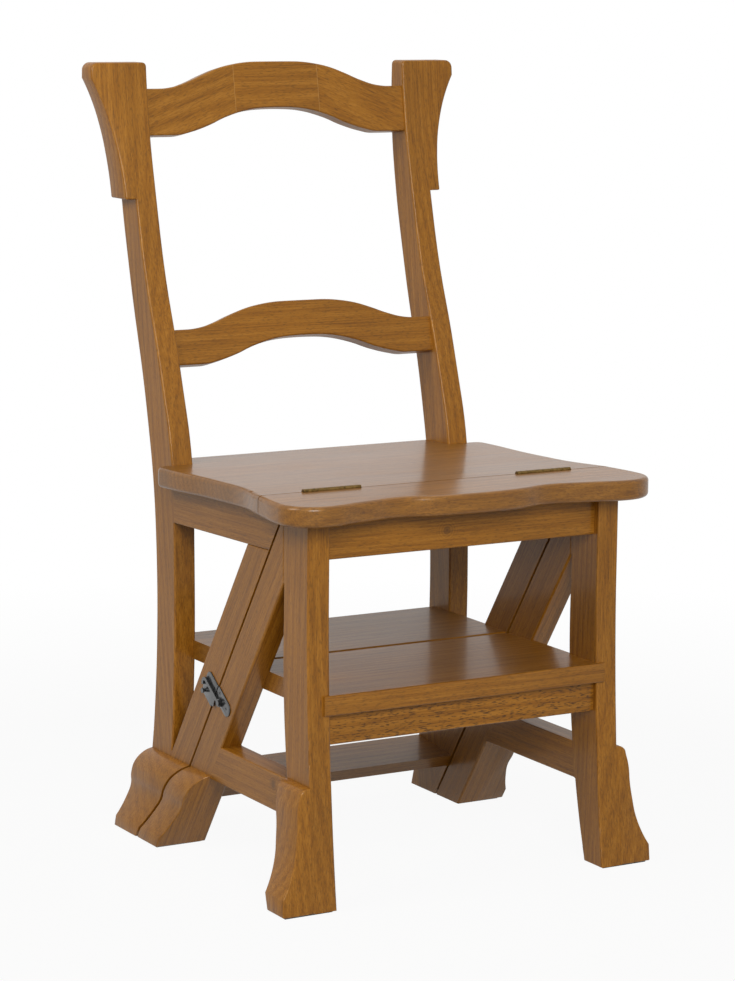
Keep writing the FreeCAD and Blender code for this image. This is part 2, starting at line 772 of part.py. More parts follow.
def hinge_screws_of(low, high, side):
    """Countersunk screws that go level through a leaf into its seat board."""
    face = hinge_depth + side * seat_gap / 2
    step = (high - low - 2 * hinge_screw_inset) / (hinge_screws - 1)
    direction = V(0, side, 0)
    screws = []
    for i in range(hinge_screws):
        start = V(low + hinge_screw_inset + i * step, face, HINGE.z - hinge_screw_drop)
        head = Part.makeCone(screw_head_radius, screw_radius, screw_head_height, start, direction)
        shank = Part.makeCylinder(screw_radius, screw_length, start, direction)
        screws.append(head.fuse(shank).removeSplitter())
    return screws


def hinge_recess(side):
    """What one seat board loses to both hinges: leaf, knuckles with room to turn, and screws."""
    parts = []
    for low, high in hinge_spans():
        parts.append(leaf_plate(low, high, side))
        parts.append(barrel(low - knuckle_clearance, high + knuckle_clearance,
                            knuckle_radius + knuckle_clearance))
        parts += hinge_screws_of(low, high, side)
    return parts[0].fuse(parts[1:])


def hinge_leaves(side):
    return Part.makeCompound([hinge_leaf(low, high, side) for low, high in hinge_spans()])


def hinge_pins():
    return Part.makeCompound([barrel(low, high, hinge_pin_radius) for low, high in hinge_spans()])


def hinge_screw_set(side):
    return Part.makeCompound([screw for low, high in hinge_spans()
                              for screw in hinge_screws_of(low, high, side)])


# Latch, on the outer face of the left side
def latch_point(along, across_cut, lift=0.0):
    """A point on the left face: along runs square to the cut towards the back, across runs down it."""
    y = cut_depth(latch_height) + along * CUT_COS + across_cut * CUT_SIN
    z = latch_height + along * CUT_SIN - across_cut * CUT_COS
    return V(-OUTER - lift, y, z)


def latch_disc(along, across_cut, radius, low, high):
    return Part.makeCylinder(radius, high - low, latch_point(along, across_cut, low), V(-1, 0, 0))


def latch_strip(a_low, a_high, b_low, b_high, low, high):
    points = [latch_point(a, b, low) for a, b in [(a_low, b_low), (a_high, b_low), (a_high, b_high),
                                                  (a_low, b_high), (a_low, b_low)]]
    return Part.Face(Part.makePolygon(points)).extrude(V(-(high - low), 0, 0))


def latch_screw(along, across_cut):
    """Countersunk screw, its head level with the plate."""
    start = latch_point(along, across_cut, latch_plate)
    head = Part.makeCone(screw_head_radius, screw_radius, screw_head_height, start, X_AXIS)
    shank = Part.makeCylinder(screw_radius, screw_length, start, X_AXIS)
    return head.fuse(shank).removeSplitter()


def hook_plate_screws():
    end = -latch_plate_gap / 2 - latch_plate_length
    middle = latch_plate_shift
    return [latch_screw(end + latch_plate_width / 2, middle),
            latch_screw(-latch_plate_gap / 2 - plate_screw_inset, middle - plate_screw_across)]


def catch_plate_screws():
    line = catch_shift - catch_screw_across
    return [latch_screw(catch_length - catch_screw_inset, line),
            latch_screw(latch_plate_gap / 2 + catch_screw_inset, line)]


def hook_plate():
    start = -latch_plate_gap / 2
    half = latch_plate_width / 2
    end = start - latch_plate_length
    low = latch_plate_shift - half
    plate = latch_strip(end + half, start, low, low + latch_plate_width, 0, latch_plate)
    plate = plate.fuse(latch_disc(end + half, latch_plate_shift, half, 0, latch_plate)).removeSplitter()
    return plate.cut(hook_plate_screws()).cut(latch_pivot())


def headed_post(along, across_cut, radius, head_radius):
    """Round post riveted into a plate, with a head that keeps the hook on."""
    stem = latch_disc(along, across_cut, radius, 0, pivot_top())
    head = latch_disc(along, across_cut, head_radius, pivot_top(), pivot_top() + pivot_head_height)
    return stem.fuse(head).removeSplitter()


def latch_pivot():
    return headed_post(pivot_along, pivot_across, pivot_radius, pivot_head_radius)


def latch_stud():
    along, across_cut = stud_place()
    return headed_post(along, across_cut, stud_radius, stud_head_radius)


def pivot_top():
    return latch_plate + 2 * hook_lift + hook_thickness


def stud_place():
    """The stud lies where the curl of the hook comes down over it."""
    reach = math.hypot(hook_reach, hook_curl_drop)
    angle = math.atan2(hook_curl_drop, hook_reach) + math.radians(stud_swing_deg)
    return pivot_along + reach * math.cos(angle), pivot_across + reach * math.sin(angle)


def catch_plate():
    start = latch_plate_gap / 2
    half = catch_width / 2
    plate = latch_strip(start, catch_length, catch_shift - half, catch_shift + half, 0, latch_plate)
    far_end = latch_point(catch_length, catch_shift)
    near_end = latch_point(start, catch_shift)
    plate = rounded(plate, catch_round, lambda edge, middle: edge.BoundBox.XLength > latch_plate / 2 and
                    (middle - far_end).Length < (middle - near_end).Length)
    return plate.cut(catch_plate_screws()).cut(latch_stud())


def hook_curl(centre, low, high):
    """Three-quarter ring at the end of the hook, open towards the stud."""
    outer = hook_curl_radius + hook_width / 2
    inner = hook_curl_radius - hook_width / 2
    ring = latch_disc(centre[0], centre[1], outer, low, high).cut(
        latch_disc(centre[0], centre[1], inner, low - SPARE, high + SPARE))
    tip = math.radians(hook_curl_deg - 90.0)
    reach = 3 * outer
    corner = (centre[0] + reach * math.cos(tip), centre[1] + reach * math.sin(tip))
    mouth = [centre, corner, (centre[0] - reach, centre[1] + reach), (centre[0] - reach, centre[1] - reach),
             (centre[0], centre[1] - reach), centre]
    wedge = Part.Face(Part.makePolygon([latch_point(a, b, low - 1) for a, b in mouth]))
    return ring.cut(wedge.extrude(V(-(high - low + 2 * SPARE), 0, 0)))


def latch_hook():
    """Flat hook on its pivot, swung just clear of the stud, with a small thumb tab."""
    low = latch_plate + hook_lift
    high = low + hook_thickness
    half = hook_width / 2
    centre = (pivot_along + hook_reach, pivot_across + hook_curl_drop)
    top = centre[1] - hook_curl_radius
    tab = pivot_along + thumb_along
    shaft = latch_strip(pivot_along, centre[0], top - half, top + half, low, high)
    eye = latch_disc(pivot_along, pivot_across, hook_eye_radius, low, high)
    stalk = latch_strip(tab, tab + hook_width, top, top + thumb_reach, low, high)
    thumb = latch_disc(tab + half, top + thumb_reach, thumb_radius, low, high)
    hook = shaft.fuse([hook_curl(centre, low, high), eye, stalk, thumb]).removeSplitter()
    bore = latch_disc(pivot_along, pivot_across, pivot_radius + hook_play, low - SPARE, high + SPARE)
    return hook.cut(bore)


# Dowels, screws and glides
def dowel_at(x_start, y, z, direction=1.0):
    """Dowel across the chair, left side, running from inside the rail into the side member."""
    return Part.makeCylinder(dowel_radius, dowel_length, V(x_start, y, z), V(-direction, 0, 0))


def both_sides(left):
    return left + [mirrored(solid) for solid in left]


def front_dowels():
    x = -INNER + dowel_in_rail
    apron_y = front_apron_recess + apron_thickness / 2
    rail_y = tread_rail_recess + apron_thickness / 2
    tread_mid = tread_height - tread_thickness / 2
    rail_low = tread_height - tread_thickness - tread_rail_height
    left = [dowel_at(x, apron_y, SEAT_UNDER - share * apron_height) for share in dowel_shares]
    left += [dowel_at(x, rail_y, rail_low + share * tread_rail_height) for share in dowel_shares]
    left += [dowel_at(x, cut_depth(tread_mid) - brace_depth / 2, tread_mid),
             dowel_at(x, leg_top_depth / 2, tread_mid)]
    return both_sides(left)


def rail_dowels(x, drop, height, recess, tilt_deg):
    corner = rail_corner(drop, recess)
    lean = math.radians(tilt_deg)
    up = V(0, math.sin(lean), math.cos(lean))
    back = V(0, math.cos(lean), -math.sin(lean))
    places = [corner + up * (share * height) + back * (rail_thickness / 2) for share in dowel_shares]
    return [dowel_at(x, place.y, place.z) for place in places]


def rear_dowels():
    x = -INNER + dowel_in_rail
    tread_mid = tread_height - tread_thickness / 2
    post_y = (depth_at(post_front, tread_mid) + tread_back()) / 2
    left = [dowel_at(x, cut_depth(tread_mid) + brace_depth / 2, tread_mid), dowel_at(x, post_y, tread_mid)]
    apron_y = rear_apron_depth() + apron_thickness / 2
    apron_top = SEAT_UNDER - seat_drop(apron_y)
    left += [dowel_at(x, apron_y, apron_top - share * apron_height) for share in dowel_shares]
    left += rail_dowels(x, crest_drop, crest_height, crest_recess, crest_tilt_deg)
    left += rail_dowels(x, lower_drop, lower_height, lower_recess, lower_tilt_deg)
    front, back, depth = low_board_span()
    lean = math.radians(low_board_tilt_deg)
    y = (front + back) / 2 + low_board_thickness / 2 * math.sin(lean)
    z = low_board_height + depth / 2 * math.sin(lean) - low_board_thickness / 2 * math.cos(lean)
    left.append(dowel_at(x, y, z))
    return both_sides(left)


def seat_screw(x, y, apron_bottom, seat_under):
    """Screw that goes up through an apron into the seat board, and the bore that lets its head in."""
    head_top = apron_bottom + seat_screw_bore
    head_low = head_top - seat_screw_head
    reach = seat_under + seat_screw_grip - head_top
    head = Part.makeCylinder(seat_screw_head_radius, seat_screw_head, V(x, y, head_low), Z_AXIS)
    shank = Part.makeCylinder(seat_screw_radius, reach, V(x, y, head_top), Z_AXIS)
    bore = Part.makeCylinder(seat_screw_bore_radius, 2 * seat_screw_bore,
                             V(x, y, apron_bottom - seat_screw_bore), Z_AXIS)
    return head.fuse(shank).removeSplitter(), bore


def front_seat_pairs():
    y = front_apron_recess + apron_thickness / 2
    return [seat_screw(x, y, SEAT_UNDER - apron_height, SEAT_UNDER)
            for x in (-front_seat_screw_half, 0, front_seat_screw_half)]


def rear_seat_pairs():
    pairs = []
    for x in (-OUTER + member / 2, OUTER - member / 2):
        for y in side_seat_screw_depths:
            under = SEAT_UNDER - seat_drop(y)
            pairs.append(seat_screw(x, y, under - apron_height, under))
    return pairs


def holes_of(pairs):
    shapes = [shape for pair in pairs for shape in pair]
    return shapes[0].fuse(shapes[1:])


def front_seat_holes():
    return holes_of(front_seat_pairs())


def rear_seat_holes():
    return holes_of(rear_seat_pairs())


def screws_of(pairs):
    return Part.makeCompound([screw for screw, bore in pairs])


def glides(y_front, y_back, flare):
    """Thin pads under a pair of feet, a little smaller than the soles all round."""
    x_low, x_high = -OUTER - flare + glide_inset, -INNER - glide_inset
    pad = box(x_low, x_high, y_front + glide_inset, y_back - glide_inset, 0, glide_thickness)
    return Part.makeCompound([pad, mirrored(pad)])


def side_nodes(pegs_front, pegs_rear, treads, latch_screws):
    """Both side frames and the blocks glued to them, left and right."""
    bores = [shape for pair in rear_seat_pairs() for shape in pair]
    members = {"front_leg": (front_leg(), pegs_front + treads),
               "front_brace": (front_brace(), pegs_front + treads),
               "back_post": (back_post(), pegs_rear + treads),
               "rear_brace": (rear_brace(), pegs_rear + treads),
               "side_apron": (side_apron(), pegs_rear + bores), "low_rail": (low_rail(), []),
               "front_foot": (front_foot(), []), "brace_foot": (brace_foot(), []),
               "rear_foot": (rear_foot(), []), "ear_block": (ear_block(), [])}
    nodes = {}
    for name, (piece, cutters) in members.items():
        holed = latch_screws if name in ("front_brace", "rear_brace") else []
        nodes[name + "_left"] = piece.cut(cutters + holed) if cutters else piece
        nodes[name + "_right"] = mirrored(piece).cut(cutters) if cutters else mirrored(piece)
    return nodes


def rail_nodes(pegs_front, pegs_rear):
    nodes = {"front_apron": front_apron().cut(pegs_front), "tread_rail": tread_rail().cut(pegs_front),
             "rear_apron": rear_apron().cut(pegs_rear)}
    crest = arched_rail(crest_drop, crest_height, crest_rise, crest_recess, crest_tilt_deg)
    lower = arched_rail(lower_drop, lower_height, lower_rise, lower_recess, lower_tilt_deg)
    for pieces in (rail_pieces("crest_rail", crest), rail_pieces("lower_rail", lower)):
        for name, piece in pieces.items():
            nodes[name] = piece.cut(pegs_rear)
    return nodes


def hinge_nodes():
    return {"hinge_front_leaves": hinge_leaves(-1), "hinge_rear_leaves": hinge_leaves(1),
            "hinge_pins": hinge_pins(), "hinge_front_screws": hinge_screw_set(-1),
            "hinge_rear_screws": hinge_screw_set(1)}


def latch_nodes():
    return {"latch_hook_plate": hook_plate(), "latch_catch_plate": catch_plate(),
            "latch_hook_plate_screws": Part.makeCompound(hook_plate_screws()),
            "latch_catch_plate_screws": Part.makeCompound(catch_plate_screws()),
            "latch_pivot": latch_pivot(), "latch_stud": latch_stud(), "latch_hook": latch_hook()}


def glide_nodes():
    return {"front_leg_glides": glides(leg_foot_front, leg_foot_back, foot_flare),
            "brace_glides": glides(cut_depth(0) - brace_depth, cut_depth(0, -1), rear_foot_flare),
            "rear_leg_glides": glides(cut_depth(0, 1), post_back[0][0], rear_foot_flare)}


def build():
    pegs_front = front_dowels()
    pegs_rear = rear_dowels()
    tread_front = front_tread()
    tread_rear = rear_tread()
    latch_screws = hook_plate_screws() + catch_plate_screws()
    nodes = side_nodes(pegs_front, pegs_rear, [tread_front, tread_rear], latch_screws)
    nodes.update(rail_nodes(pegs_front, pegs_rear))
    nodes["front_tread"] = tread_front.cut(pegs_front)
    nodes["rear_tread"] = tread_rear.cut(pegs_rear)
    nodes["low_board"] = low_board().cut(pegs_rear)
    nodes["front_seat_board"] = front_seat_board()
    nodes["rear_seat_board"] = rear_seat_board(nodes["back_post_left"])
    nodes.update(hinge_nodes())
    nodes.update(latch_nodes())
    nodes.update(glide_nodes())
    nodes["front_dowels"] = Part.makeCompound(pegs_front)
    nodes["rear_dowels"] = Part.makeCompound(pegs_rear)
    nodes["front_seat_screws"] = screws_of(front_seat_pairs())
    nodes["rear_seat_screws"] = screws_of(rear_seat_pairs())
    return nodes


def export(nodes):
    os.makedirs("parts", exist_ok=True)
    for name, shape in nodes.items():
        placed = shape.copy()
        placed.translate(FRAME_SHIFT)
        print(name, "solids", len(placed.Solids), "valid", placed.isValid(),
              "volume", round(sum(solid.Volume for solid in placed.Solids)))
        placed.exportStep("parts/" + name + ".step")
    hinge = HINGE + FRAME_SHIFT
    pivot = latch_point(pivot_along, pivot_across) + FRAME_SHIFT
    print("hinge axis", hinge)
    print("latch pivot", pivot)


export(build())
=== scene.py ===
import json
import math

import bmesh
import bpy
from mathutils import Matrix, Vector

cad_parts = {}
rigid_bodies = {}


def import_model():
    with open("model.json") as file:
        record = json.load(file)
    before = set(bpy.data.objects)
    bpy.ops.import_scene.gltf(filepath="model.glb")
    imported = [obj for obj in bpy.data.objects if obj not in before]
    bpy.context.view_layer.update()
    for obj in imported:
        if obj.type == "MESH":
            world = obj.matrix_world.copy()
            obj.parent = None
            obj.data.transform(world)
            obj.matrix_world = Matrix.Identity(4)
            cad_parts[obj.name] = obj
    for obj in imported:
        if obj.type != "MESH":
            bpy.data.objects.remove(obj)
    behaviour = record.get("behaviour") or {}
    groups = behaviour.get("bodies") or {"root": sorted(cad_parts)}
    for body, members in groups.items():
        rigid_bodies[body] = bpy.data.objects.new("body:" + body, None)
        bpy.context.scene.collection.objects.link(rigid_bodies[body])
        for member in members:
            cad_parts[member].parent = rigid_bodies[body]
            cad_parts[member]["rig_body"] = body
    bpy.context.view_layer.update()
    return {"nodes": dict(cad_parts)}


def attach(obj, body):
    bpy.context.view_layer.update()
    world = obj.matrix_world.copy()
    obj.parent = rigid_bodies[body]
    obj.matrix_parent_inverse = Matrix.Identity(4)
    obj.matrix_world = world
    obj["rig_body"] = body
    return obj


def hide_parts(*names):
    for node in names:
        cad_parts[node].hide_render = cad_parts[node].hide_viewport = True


# Looks of the wooden side chair that folds open into library steps.
# Metres, X across, Y from front to back, Z up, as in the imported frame.

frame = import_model()
nodes = frame["nodes"]
mm = 0.001


# sRGB hex to the linear colour that the nodes want
def toLinear(hexColour):
    parts = [int(hexColour[i:i + 2], 16) / 255 for i in (1, 3, 5)]
    return [p / 12.92 if p <= 0.04045 else ((p + 0.055) / 1.055) ** 2.4 for p in parts] + [1.0]


# A node with its settings, its inputs (a value, or the socket to link) and its colour ramp's stops
def addNode(tree, kind, inputs=None, stops=None, **settings):
    node = tree.nodes.new(kind)
    for name, value in settings.items():
        setattr(node, name, value)
    for key, value in (inputs or {}).items():
        if isinstance(value, bpy.types.NodeSocket):
            tree.links.new(value, node.inputs[key])
        else:
            node.inputs[key].default_value = value
    if stops:  # place on the ramp -> sRGB hex, or a grey level
        ramp = node.color_ramp.elements
        while len(ramp) < len(stops):
            ramp.new(0.5)
        for element, (place, look) in zip(ramp, sorted(stops.items())):
            element.position = place
            element.color = toLinear(look) if isinstance(look, str) else (look, look, look, 1)
    return node


def newMaterial(name):
    material = bpy.data.materials.new(name)
    material.use_nodes = True
    material.node_tree.nodes.clear()
    return material, material.node_tree


def newPiece(name, data):
    piece = bpy.data.objects.new(name, data)
    bpy.context.scene.collection.objects.link(piece)
    return piece


wood = {
    "streaks": {0.25: "#603808", 0.45: "#824F0C", 0.60: "#925D14", 0.80: "#A26B22"},  # dark to pale
    "ringSpacing": 9 * mm,  # growth rings, faint in this wood
    "ringRepeat": 0.314,  # a wave of scale 1 comes round after this much
    "ringStretch": (0.16, 1, 1),  # the rings change slowly along the trunk
    "ringLook": {"Distortion": 5.0, "Detail": 2.0, "Detail Scale": 0.35, "Detail Roughness": 0.55},
    "fibres": {"length": 75 * mm, "width": 1.7 * mm,
               "noise": {"Detail": 5.0, "Roughness": 0.62, "Distortion": 0.25}},
    # Real pores are half as wide; drawn so that they show
    "pores": {"length": 6 * mm, "width": 0.9 * mm, "noise": {"Detail": 1.0, "Roughness": 0.4}},
    "poreStops": {0.54: 0.0, 0.68: 1.0}, "poreColour": "#442405",
    # Left by the wiped stain
    "clouds": {"length": 175 * mm, "width": 70 * mm, "noise": {"Detail": 3.0, "Roughness": 0.5}},
    "cloudRange": (0.3, 0.7), "cloudTone": (0.88, 1.08),
    "staveWidth": 74 * mm,  # boards are glued up from staves
    "staveShift": (1.0, 0.06, 0.06), "staveTone": (0.90, 1.07),
    "grainStrength": 0.18, "grainHeight": 0.25 * mm, "poreSink": -1.2,
    "skinStrength": 0.05, "skinHeight": 0.12 * mm,
    "coatRoughness": (0.14, 0.224), "coatWeight": 0.23,
    "bodyRoughness": (0.58, 0.44), "woodIor": 1.5, "lacquerIor": 1.5, "specular": 0.34,
    "warmSheen": "#FFF3C4",  # what the stained grain under the lacquer gives back is a little yellow
}
# Where a knot's edge fades, how far it wanders and how far its rings reach go by its own radius
knot = {"colour": "#4A290A", "share": 0.75, "edge": (0.9, 1.7), "wander": 1.2,
        "ring": 3.2 * mm, "ringShare": 0.13, "ringReach": 3.2}
glue = {"colour": "#B98C50", "share": 0.45, "line": 0.5 * mm}


# Plantation hardwood, sawn, wiped with honey-brown stain and sprayed with satin lacquer: long streaks
# along the grain, short dark pores, soft clouds of stain and a clear wet-looking skin
def stainedHardwood(name, grain=(1, 0, 0), tone=1.0, pith=(0.03, -0.07), along=0.0, staves=False,
                    knots=(), gloss=1.0, poreDepth=0.42, ringShare=0.12, glueAt=None):
    material, tree = newMaterial(name)
    place = addNode(tree, "ShaderNodeTexCoord").outputs["Object"]
    turn = Vector(grain).normalized().rotation_difference(Vector((1, 0, 0))).to_euler()
    lined = addNode(tree, "ShaderNodeMapping",
                    {"Vector": place, "Rotation": turn, "Location": (along, pith[0], pith[1])}).outputs[0]
    if staves:  # each stave takes its own stretch of the pattern and its own tone
        across = addNode(tree, "ShaderNodeSeparateXYZ", {"Vector": place}).outputs["Y"]
        stave = addNode(tree, "ShaderNodeMath", {0: across, 1: wood["staveWidth"]},
                        operation="DIVIDE").outputs[0]
        stave = addNode(tree, "ShaderNodeMath", {0: stave}, operation="FLOOR").outputs[0]
        chance = addNode(tree, "ShaderNodeTexWhiteNoise", {"W": stave}, noise_dimensions="1D").outputs
        shift = addNode(tree, "ShaderNodeVectorMath", {0: chance["Color"], 1: wood["staveShift"]},
                        operation="MULTIPLY").outputs[0]
        lined = addNode(tree, "ShaderNodeVectorMath", {0: lined, 1: shift}, operation="ADD").outputs[0]
    rings = addNode(tree, "ShaderNodeVectorMath", {0: lined, 1: wood["ringStretch"]},
                    operation="MULTIPLY").outputs[0]
    rings = addNode(tree, "ShaderNodeTexWave",
                    {"Vector": rings, "Scale": wood["ringRepeat"] / wood["ringSpacing"],
                     **wood["ringLook"]},
                    wave_type="RINGS", rings_direction="X", wave_profile="SIN").outputs["Fac"]
    noises = {}
    for kind in ("fibres", "pores", "clouds"):  # each is noise drawn out along the grain
        length, width = wood[kind]["length"], wood[kind]["width"]
        drawn = addNode(tree, "ShaderNodeVectorMath", {0: lined, 1: (1 / length, 1 / width, 1 / width)},
                        operation="MULTIPLY").outputs[0]
        noises[kind] = addNode(tree, "ShaderNodeTexNoise",
                               {"Vector": drawn, "Scale": 1.0, **wood[kind]["noise"]}).outputs["Fac"]
    fibres, clouds = noises["fibres"], noises["clouds"]
    pores = addNode(tree, "ShaderNodeValToRGB", {"Fac": noises["pores"]},
                    wood["poreStops"]).outputs["Color"]

    figure = addNode(tree, "ShaderNodeMath", {0: rings, 1: ringShare, 2: fibres},
                     operation="MULTIPLY_ADD").outputs[0]
    near = []
    for spot, size in knots:  # the grain circles each knot
        away = addNode(tree, "ShaderNodeVectorMath", {0: place, 1: spot},
                       operation="DISTANCE").outputs["Value"]
        away = addNode(tree, "ShaderNodeMath", {0: clouds, 1: knot["wander"] * size, 2: away},
                       operation="MULTIPLY_ADD").outputs[0]
        near.append((away, size))
        turns = addNode(tree, "ShaderNodeMath", {0: away, 1: 2 * math.pi / knot["ring"]},
                        operation="MULTIPLY").outputs[0]
        turns = addNode(tree, "ShaderNodeMath", {0: turns}, operation="SINE").outputs[0]
        reach = addNode(tree, "ShaderNodeMapRange",
                        {"Value": away, "From Min": size, "From Max": knot["ringReach"] * size,
                         "To Min": knot["ringShare"], "To Max": 0.0}).outputs[0]
        figure = addNode(tree, "ShaderNodeMath", {0: turns, 1: reach, 2: figure},
                         operation="MULTIPLY_ADD").outputs[0]
    colour = addNode(tree, "ShaderNodeValToRGB", {"Fac": figure}, wood["streaks"]).outputs["Color"]
    thin, thick = wood["cloudRange"]
    level = addNode(tree, "ShaderNodeMapRange",
                    {"Value": clouds, "From Min": thin, "From Max": thick,
                     "To Min": wood["cloudTone"][0] * tone,
                     "To Max": wood["cloudTone"][1] * tone}).outputs[0]
    if staves:
        staveTone = addNode(tree, "ShaderNodeMapRange",
                            {"Value": chance["Value"], "To Min": wood["staveTone"][0],
                             "To Max": wood["staveTone"][1]}).outputs[0]
        level = addNode(tree, "ShaderNodeMath", {0: level, 1: staveTone},
                        operation="MULTIPLY").outputs[0]
    colour = addNode(tree, "ShaderNodeVectorMath", {0: colour, "Scale": level},
                     operation="SCALE").outputs[0]
    share = addNode(tree, "ShaderNodeMath", {0: pores, 1: poreDepth}, operation="MULTIPLY").outputs[0]
    colour = addNode(tree, "ShaderNodeMix", {0: share, 6: colour, 7: toLinear(wood["poreColour"])},
                     data_type="RGBA").outputs[2]
    for away, size in near:
        share = addNode(tree, "ShaderNodeMapRange",
                        {"Value": away, "From Min": knot["edge"][0] * size,
                         "From Max": knot["edge"][1] * size, "To Min": knot["share"],
                         "To Max": 0.0}).outputs[0]
        colour = addNode(tree, "ShaderNodeMix", {0: share, 6: colour, 7: toLinear(knot["colour"])},
                         data_type="RGBA").outputs[2]
    if glueAt:  # a pale line of glue where the next piece of the rail meets this one
        off = addNode(tree, "ShaderNodeSeparateXYZ", {"Vector": place}).outputs["X"]
        off = addNode(tree, "ShaderNodeMath", {0: off}, operation="ABSOLUTE").outputs[0]
        share = addNode(tree, "ShaderNodeMapRange",
                        {"Value": off, "From Min": glueAt - 2 * glue["line"],
                         "From Max": glueAt - glue["line"], "To Min": 0.0,
                         "To Max": glue["share"]}).outputs[0]
        colour = addNode(tree, "ShaderNodeMix", {0: share, 6: colour, 7: toLinear(glue["colour"])},
                         data_type="RGBA").outputs[2]

    raised = addNode(tree, "ShaderNodeMath", {0: pores, 1: wood["poreSink"], 2: fibres},
                     operation="MULTIPLY_ADD").outputs[0]
    bump = addNode(tree, "ShaderNodeBump", {"Height": raised, "Strength": wood["grainStrength"],
                                            "Distance": wood["grainHeight"]}).outputs[0]
    skin = addNode(tree, "ShaderNodeBump", {"Height": fibres, "Strength": wood["skinStrength"],
                                            "Distance": wood["skinHeight"]}).outputs[0]
    shine = addNode(tree, "ShaderNodeMapRange",
                    {"Value": clouds, "From Min": thin, "From Max": thick,
                     "To Min": wood["coatRoughness"][0],
                     "To Max": wood["coatRoughness"][1]}).outputs[0]
    body = addNode(tree, "ShaderNodeMapRange",
                   {"Value": fibres, "To Min": wood["bodyRoughness"][0],
                    "To Max": wood["bodyRoughness"][1]}).outputs[0]
    shader = addNode(tree, "ShaderNodeBsdfPrincipled",
                     {"Base Color": colour, "Roughness": body, "IOR": wood["woodIor"], "Normal": bump,
                      "Specular IOR Level": wood["specular"],
                      "Specular Tint": toLinear(wood["warmSheen"]),
                      "Coat Weight": gloss * wood["coatWeight"], "Coat Roughness": shine,
                      "Coat IOR": wood["lacquerIor"], "Coat Normal": skin})
    addNode(tree, "ShaderNodeOutputMaterial", {"Surface": shader.outputs[0]})
    return material


metals = {
    "brass": {"colour": "#7C6238", "tarnish": "#3E3018", "rough": (0.28, 0.5), "spots": 3 * mm,
              "level": 0.55},
    "steel": {"colour": "#A9ABA9", "tarnish": "#7F807B", "rough": (0.25, 0.4), "spots": 1.2 * mm,
              "level": 0.5},
}
spotEdge = 0.15  # how softly a dull spot fades out


# Drawn brass that has been darkened, or plated turned steel: a clean sheen with soft dull spots in it
def agedMetal(name, look):
    material, tree = newMaterial(name)
    place = addNode(tree, "ShaderNodeTexCoord").outputs["Object"]
    spots = addNode(tree, "ShaderNodeTexNoise", {"Vector": place, "Scale": 1 / look["spots"],
                                                 "Detail": 4.0, "Roughness": 0.6}).outputs["Fac"]
    share = addNode(tree, "ShaderNodeMapRange",
                    {"Value": spots, "From Min": look["level"] - spotEdge,
                     "From Max": look["level"] + spotEdge}).outputs[0]
    colour = addNode(tree, "ShaderNodeMix",
                     {0: share, 6: toLinear(look["colour"]), 7: toLinear(look["tarnish"])},
                     data_type="RGBA").outputs[2]
    rough = addNode(tree, "ShaderNodeMapRange",
                    {"Value": spots, "To Min": look["rough"][0], "To Max": look["rough"][1]}).outputs[0]
    bump = addNode(tree, "ShaderNodeBump", {"Height": spots, "Strength": 0.1, "Distance": 0.1 * mm})
    shader = addNode(tree, "ShaderNodeBsdfPrincipled",
                     {"Base Color": colour, "Metallic": 1.0, "Roughness": rough,
                      "Normal": bump.outputs[0]})
    addNode(tree, "ShaderNodeOutputMaterial", {"Surface": shader.outputs[0]})
    return material


# Enamelled iron, moulded polyethylene or plain beech: an even colour with a fine grain in it
def grainedSolid(name, light, dark, size, rough, ior, coat=0.0, specular=0.5):
    material, tree = newMaterial(name)
    place = addNode(tree, "ShaderNodeTexCoord").outputs["Object"]
    grit = addNode(tree, "ShaderNodeTexNoise",
                   {"Vector": place, "Scale": 1 / size, "Detail": 3.0}).outputs["Fac"]
    colour = addNode(tree, "ShaderNodeValToRGB", {"Fac": grit},
                     {0.35: dark, 0.65: light}).outputs["Color"]
    bump = addNode(tree, "ShaderNodeBump", {"Height": grit, "Strength": 0.3, "Distance": 0.05 * mm})
    shader = addNode(tree, "ShaderNodeBsdfPrincipled",
                     {"Base Color": colour, "Roughness": rough, "IOR": ior, "Normal": bump.outputs[0],
                      "Specular IOR Level": specular, "Coat Weight": coat, "Coat Roughness": 0.08})
    addNode(tree, "ShaderNodeOutputMaterial", {"Surface": shader.outputs[0]})
    return material


antiqueBrass = agedMetal("antique brass, drawn", metals["brass"])
blackIron = grainedSolid("black enamel on stamped iron", "#161616", "#080808", 2.5 * mm, 0.4, 1.5,
                         coat=1.0, specular=0.25)
zincSteel = agedMetal("zinc-plated steel, turned", metals["steel"])
padPlastic = grainedSolid("polyethylene pad, moulded", "#2B241D", "#1C1712", 0.8 * mm, 0.55, 1.51)
dowelBeech = grainedSolid("beech dowel, turned", "#C9A06C", "#B08654", 1.0 * mm, 0.6, 1.5)

